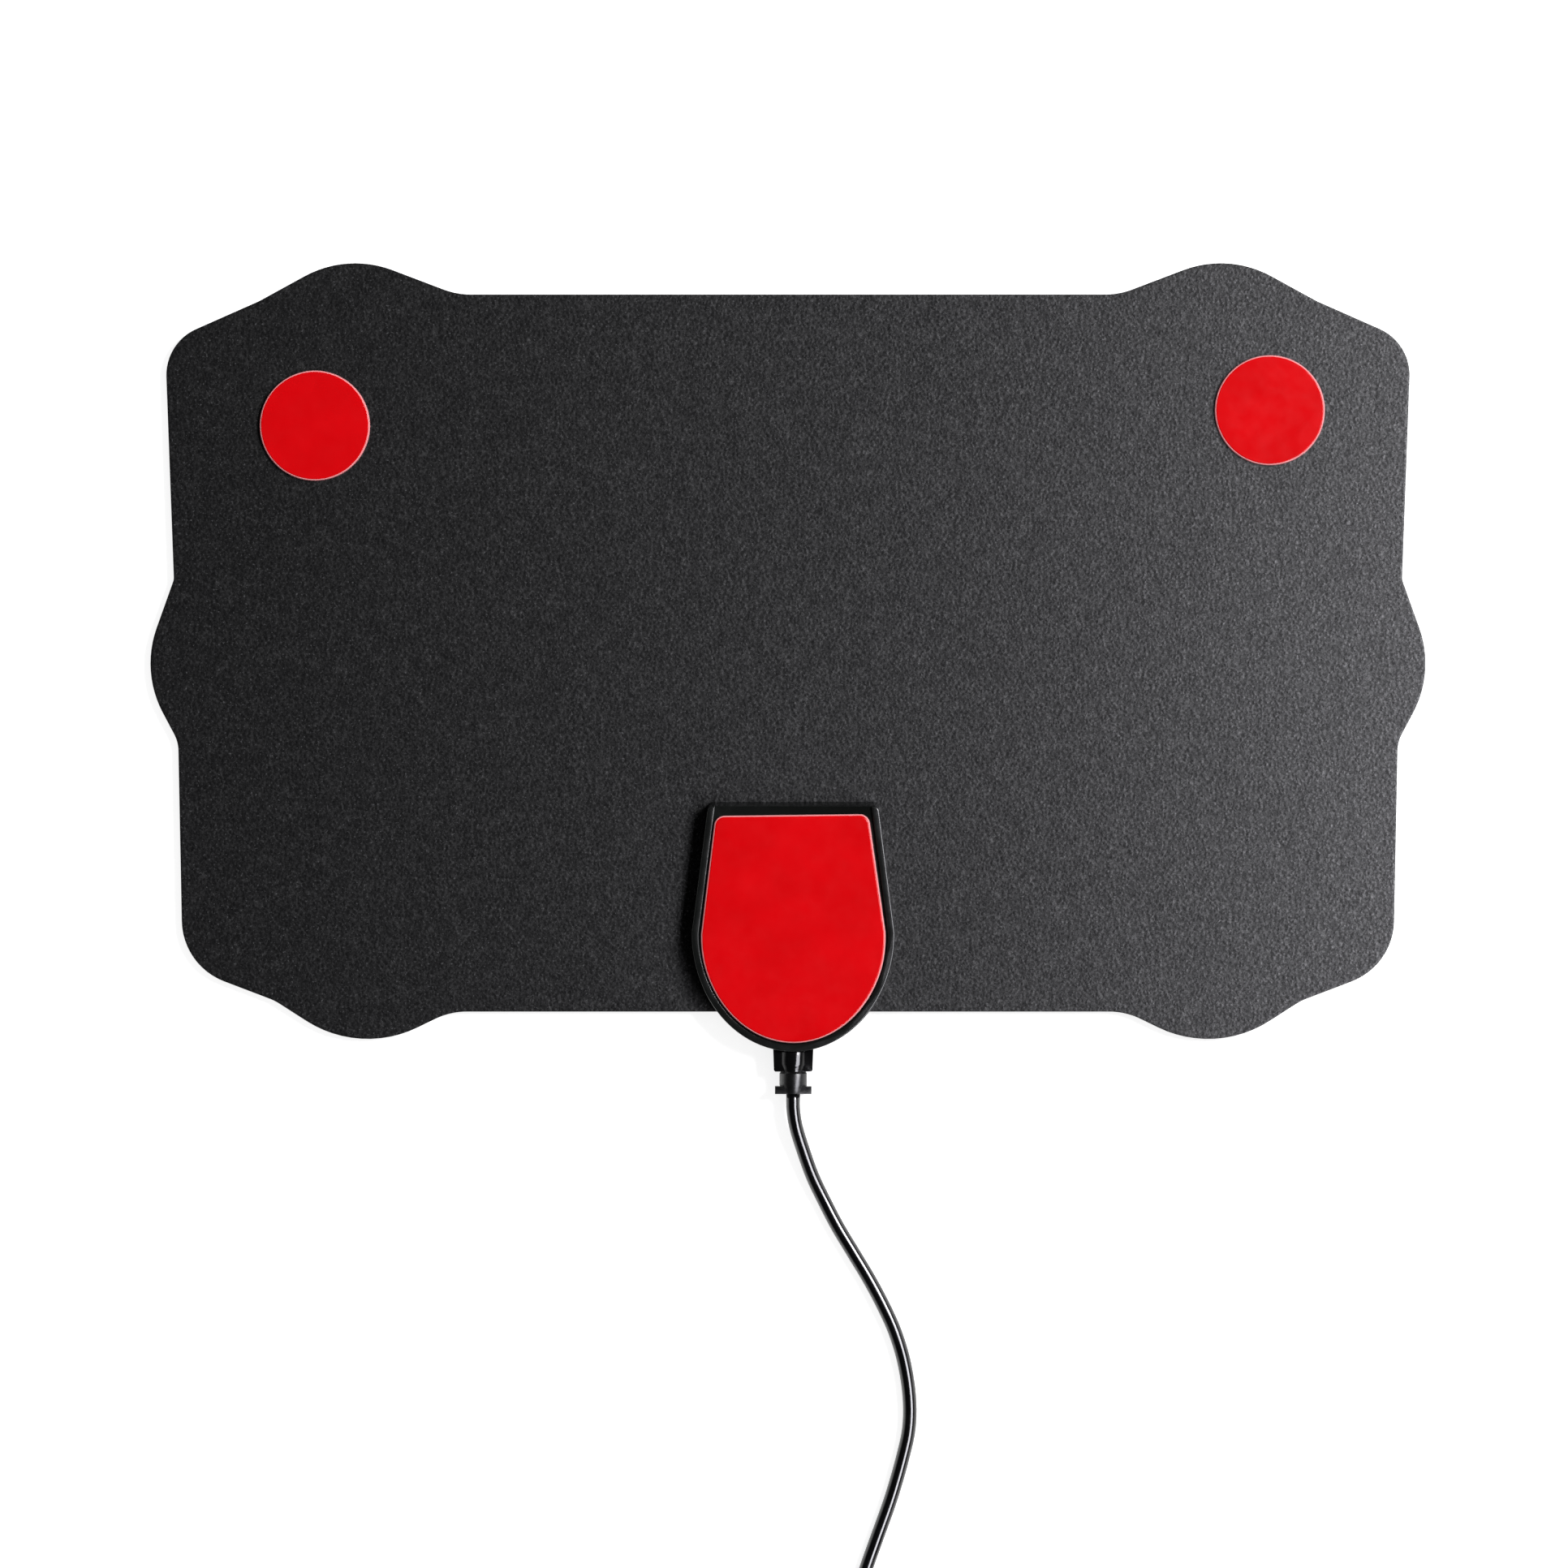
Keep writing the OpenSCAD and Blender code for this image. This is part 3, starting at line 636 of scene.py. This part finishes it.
film = {
    "ripple": 0.02,
    "level": 0.75,  # how far the film lies below its top on average, as a share of the ripple
    "swing": 0.5,  # how far the ripples go up and down from there, as a share of the ripple
    "wave": 9.0,
    "waveStretch": 1.3,
    "slantWave": (2.1, -1.7),
    "slantShare": 0.5,
    "waveStart": 0.25,  # share of the way in from the rim over which the ripples set in
    "ragged": 0.06,  # how far in from its outline the film is cut
    "unevenShare": 0.3,
    "unevenWaves": 6,
    "wavesRound": 5,
    "rings": 24,
    "ringPower": 1.3,  # above 1, the rings lie closer together at the rim
    "round": 0.04,
    "slimmer": 0.27,  # the housing's pad was cut slimmer than its outline along the flanks
    "flankStart": (-66.0, -54.0),
    "flankWidth": 8.0,  # distance from the pad's middle line at which it is cut in full
}


# a pad's outline; the housing's draws its flanks in
def padOutline(node):
    loop = outlineOf(node)
    if node.startswith("housing"):
        low, high = film["flankStart"]
        middle = loop[:, 0].mean()
        side = np.clip((loop[:, 0] - middle) / film["flankWidth"], -1, 1)
        share = ease((loop[:, 1] - low) / (high - low)) * side
        loop = loop - np.column_stack([film["slimmer"] * share, np.zeros(len(loop))])
    return loop


# release film: rings shrink to the middle, and the height follows slow sine ripples of x and y,
# fading out at the rim, which is cut a little unevenly
def filmSkin(name, node, finish, seed):
    loop = padOutline(node)
    z0, z1 = nodeHeights(node)
    n = len(loop)
    middle = loop.mean(axis=0)
    rng = np.random.default_rng(seed)
    waves = film["unevenWaves"]
    phase = rng.uniform(0, 2 * np.pi, (waves, 2))
    angle = np.arctan2(loop[:, 1] - middle[1], loop[:, 0] - middle[0])
    uneven = sum(np.sin(k * film["wavesRound"] * angle + phase[k, 0]) / (k + 1) for k in range(waves))
    cut = film["ragged"] * film["unevenShare"] * uneven
    rim = drawnIn(loop, film["ragged"]) - unit(loop - middle) * cut[:, None]
    rings = [np.column_stack([rim, np.full(n, z0)]),
             np.column_stack([rim, np.full(n, z1 - film["ripple"] - film["round"])])]
    for share in np.linspace(0.0, 1.0, film["rings"] + 1)[:-1]:
        flat = middle + (drawnIn(rim, film["round"]) - middle) * (1 - share ** film["ringPower"])
        x, y = (flat / film["wave"]).T
        lift = np.sin(x + phase[0, 1]) * np.sin(film["waveStretch"] * y + phase[1, 1])
        slant = np.sin(film["slantWave"][0] * x + film["slantWave"][1] * y + phase[2, 1])
        lift = (lift + film["slantShare"] * slant) / (1 + film["slantShare"])
        fade = ease(share / film["waveStart"])
        z = z1 - film["ripple"] * (film["level"] - film["swing"] * lift * fade)
        rings.append(np.column_stack([flat, np.minimum(z, z1)]))
    points = np.vstack(rings + [[*middle, rings[-1][:, 2].mean()]])
    count = len(rings)
    last = np.arange(n) + (count - 1) * n
    faces = list(gridQuads(count, n)) + [list(range(n))]
    faces += [(a, b, len(points) - 1) for a, b in zip(last, np.roll(last, -1))]
    addPiece(name, points, faces, [node], finish)


foam = {
    "cutIn": 0.02,
    "bulge": 0.1,  # how far the middle of the cut side stands out past its ends
    "sideSteps": 7,
    "shoulder": 0.16,  # radius of the top edge, which the film presses round
    "shoulderSteps": 6,
    "underFilm": 0.7,  # how far in the flat faces below and above start
}


def foamPad(name, node, finish):
    z0, z1 = nodeHeights(node)
    r, end = foam["shoulder"], foam["cutIn"] + foam["bulge"]
    side = [(foam["cutIn"] + foam["bulge"] * (2 * s - 1) ** 2, z0 + (z1 - r - z0) * s)
            for s in np.linspace(0.0, 1.0, foam["sideSteps"])]
    a = np.linspace(0.0, np.pi / 2, foam["shoulderSteps"])[1:]
    top = [(end + r * (1 - math.cos(t)), z1 - r * (1 - math.sin(t))) for t in a]
    steps = [(foam["underFilm"], z0)] + side + top + [(foam["underFilm"], z1)]
    slab(name, node, steps, finish, padOutline(node))


def addPads():
    for seed, place in enumerate(["left", "right", "housing"], start=11):
        foamPad(place + "PadFoam", place + "_pad_tape", finishes["foam"])
        filmSkin(place + "PadFilm", place + "_pad_liner", finishes["redFilm"], seed)


addPads()
print("pads done")


moulding = {
    "weld": 0.004,
    "flat": 0.4,  # degrees between faces that count as one flat face
    "sharp": 28.0,  # degrees from which an edge is rounded
    "segments": 3,
}
# node: name of the piece, width of its rounded edges, slot, finish
mouldings = {
    "back_cover": ("backCover", 0.06, "housing", "housing"),
    "front_cover": ("frontCover", 0.12, "housing", "housing"),
    "strain_relief": ("strainRelief", 0.2, "relief", "relief"),
}


# copy of a node's mesh with its corners joined, flat faces made whole and sharp edges rounded
def softened(node, name, width, finish):
    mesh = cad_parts[node].data.copy()
    mesh.name = name
    work = bmesh.new()
    work.from_mesh(mesh)
    bmesh.ops.remove_doubles(work, verts=work.verts, dist=moulding["weld"] * mm)
    bmesh.ops.dissolve_limit(work, angle_limit=math.radians(moulding["flat"]), verts=work.verts,
                             edges=work.edges)
    work.to_mesh(mesh)
    work.free()
    mesh.polygons.foreach_set("use_smooth", np.ones(len(mesh.polygons), bool))
    piece = addObject(name, mesh, [node], finish)
    edge = piece.modifiers.new("roundedEdges", "BEVEL")
    edge.width = width * mm
    edge.segments = moulding["segments"]
    edge.limit_method = "ANGLE"
    edge.angle_limit = math.radians(moulding["sharp"])
    edge.harden_normals = True


for node, (name, width, slot, finish) in mouldings.items():
    softened(node, name, width, finishes[finish])
print("mouldings done")

nodeFinishes = {
    "left_foil": "foil", "right_foil": "foil", "cover_screws": "steel", "circuit_board": "board",
    "chip_parts": "chips", "balun_core": "ferrite", "balun_winding": "copper",
    "contact_rivets": "brass", "contact_washers": "brass", "solder_joints": "solder",
    "cable_tail": "jacket", "cable_braid": "braid", "cable_insulation": "white",
    "cable_conductor": "copper", "cable_tie": "tie", "plug_grip": "grip", "plug_barrel": "plug",
    "plug_insulator": "white", "plug_pin": "plug",
}
for node, finish in nodeFinishes.items():
    dress(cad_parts[node].data, finishes[finish])
print("nodes dressed:", len(nodeFinishes))

# studio: a pale floor, a soft key lamp at the right and somewhat towards the top that gives the
# light and the shadows, a nearer lamp that is only mirrored, which draws the sheen across the
# sheet, and a world that mirrors white near the horizon and dim overhead
studio = {
    "floorHalf": 4.0,
    "floorColour": (0.8, 0.8, 0.8, 1.0),
    "floorRoughness": 0.9,
    "floorGlow": 0.77,  # the floor's own light, which only camera and mirror rays see
    "ambient": 0.28,  # the world's light on matt surfaces
    "overheadMirror": 0.01,
    "mirrorFade": (0.06, 0.45),  # the sine of the height over which white fades to dim
    "aim": (0.0, -0.03, 0.0),
    "keyPlace": (1.36, 0.6, 1.75),
    "keySize": (0.6, 0.6),
    "keyPower": 48.5,
    "sheenPlace": (0.34, -0.06, 0.46),
    "sheenSize": (0.8, 0.26),
    "sheenPower": 8.75,
    "sheenColour": (0.945, 0.935, 1.0),
}


# two shares: 1 for camera and transmission rays, and 1 for glossy rays
def rayShares(tree):
    path = addNode(tree, "LightPath", {})
    seen = mathNode(tree, "MAXIMUM", path.outputs["Is Camera Ray"], path.outputs["Is Transmission Ray"])
    return seen, path.outputs["Is Glossy Ray"]


def addFloor():
    h = studio["floorHalf"]
    mesh = bpy.data.meshes.new("floor")
    mesh.from_pydata([(-h, -h, 0), (h, -h, 0), (h, h, 0), (-h, h, 0)], [], [(0, 1, 2, 3)])
    floor = bpy.data.objects.new("floor", mesh)
    scene.collection.objects.link(floor)
    material, tree, shader, _ = newFinish(
        "paleFloor", Base_Color=studio["floorColour"], Roughness=studio["floorRoughness"],
        Specular_IOR_Level=0.0, Emission_Color=(1.0, 1.0, 1.0, 1.0))
    share = mathNode(tree, "MAXIMUM", *rayShares(tree))
    tree.links.new(mathNode(tree, "MULTIPLY", share, studio["floorGlow"]),
                   shader.inputs["Emission Strength"])
    mesh.materials.append(material)


def addWorld():
    world = bpy.data.worlds.new("studioWorld")
    world.use_nodes = True
    scene.world = world
    tree = world.node_tree
    back = tree.nodes["Background"]
    back.inputs["Color"].default_value = (1.0, 1.0, 1.0, 1.0)
    seen, glossy = rayShares(tree)
    towards = addNode(tree, "TexCoord", {}).outputs["Generated"]
    height = addNode(tree, "SeparateXYZ", {"Vector": towards}).outputs["Z"]
    low, high = studio["mirrorFade"]
    mirror = addNode(tree, "MapRange", {"Value": height, "From Min": low, "From Max": high,
                                        "To Min": 1.0, "To Max": studio["overheadMirror"]},
                     interpolation_type="SMOOTHSTEP").outputs["Result"]
    level = addNode(tree, "MapRange", {"Value": glossy, "To Min": studio["ambient"],
                                       "To Max": mirror}).outputs["Result"]
    level = addNode(tree, "MapRange", {"Value": seen, "To Min": level, "To Max": 1.0})
    tree.links.new(level.outputs["Result"], back.inputs["Strength"])


# area lamp turned towards the aim, with its first side level
def addLamp(name, place, size, power, colour=(1.0, 1.0, 1.0)):
    data = bpy.data.lights.new(name, "AREA")
    data.shape = "RECTANGLE"
    data.size, data.size_y = size
    data.energy = power
    data.color = colour
    lamp = bpy.data.objects.new(name, data)
    lamp.location = place
    x, y, z = np.subtract(place, studio["aim"])
    lamp.rotation_euler = (math.atan2(math.hypot(x, y), z), 0.0, math.atan2(y, x) + math.pi / 2)
    scene.collection.objects.link(lamp)
    return lamp


def addLight():
    addLamp("keySoftbox", studio["keyPlace"], studio["keySize"], studio["keyPower"])
    sheen = addLamp("sheenSoftbox", studio["sheenPlace"], studio["sheenSize"], studio["sheenPower"],
                    studio["sheenColour"])
    sheen.visible_diffuse = False


addFloor()
addWorld()
addLight()
print("studio done")
